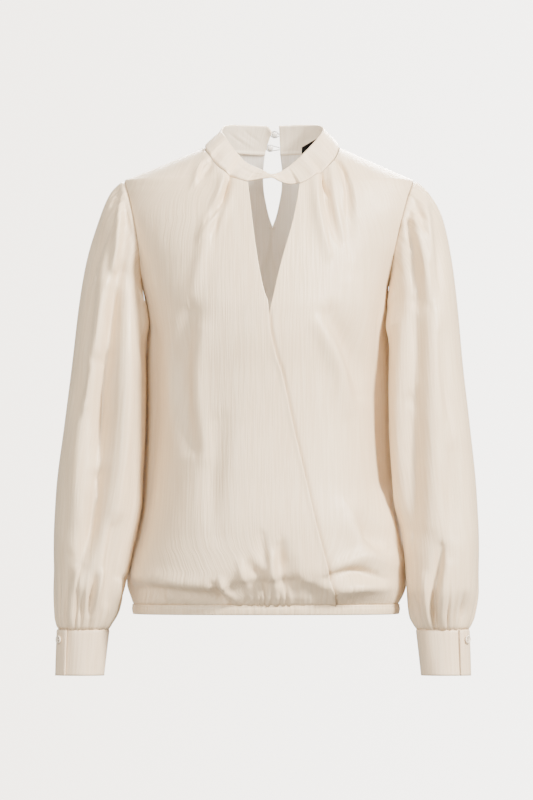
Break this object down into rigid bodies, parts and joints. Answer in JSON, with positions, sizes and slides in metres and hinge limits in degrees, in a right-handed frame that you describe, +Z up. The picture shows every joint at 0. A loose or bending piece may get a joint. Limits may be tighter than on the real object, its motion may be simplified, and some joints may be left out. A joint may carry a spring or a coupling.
{
  "type": "keyhole blouse",
  "caption": "Worn, hollow blouse with a pinched stand collar, keyhole neck, wrapped front, full gathered sleeves, deep cuffs and an elastic hem.",
  "frame": {"origin": "middle of the wearer's neck, level with the top of the shoulders, where the shoulders hold the garment up", "axes": "+Z up, -Y to the front of the garment, +X to the wearer's left"},
  "size_m": [0.5535, 0.2676, 0.7163],
  "materials": {
    "ivory_satin": "satin crepe with fine lengthwise crinkle",
    "ivory_thread": "twisted thread",
    "pale_button": "pearly",
    "black_label": "woven, bare"
  },
  "bodies": {
    "root": {"front_right": "ivory_satin", "front_left": "ivory_satin", "back": "ivory_satin", "collar": "ivory_satin", "sleeve_right": "ivory_satin", "sleeve_left": "ivory_satin", "cuff_right": "ivory_satin", "cuff_left": "ivory_satin", "hem_band": "ivory_satin", "neck_loop_upper": "ivory_thread", "neck_loop_lower": "ivory_thread", "neck_button_upper": "pale_button", "neck_button_lower": "pale_button", "cuff_right_button": "pale_button", "cuff_left_button": "pale_button", "neck_label": "black_label"}
  },
  "joints": []
}
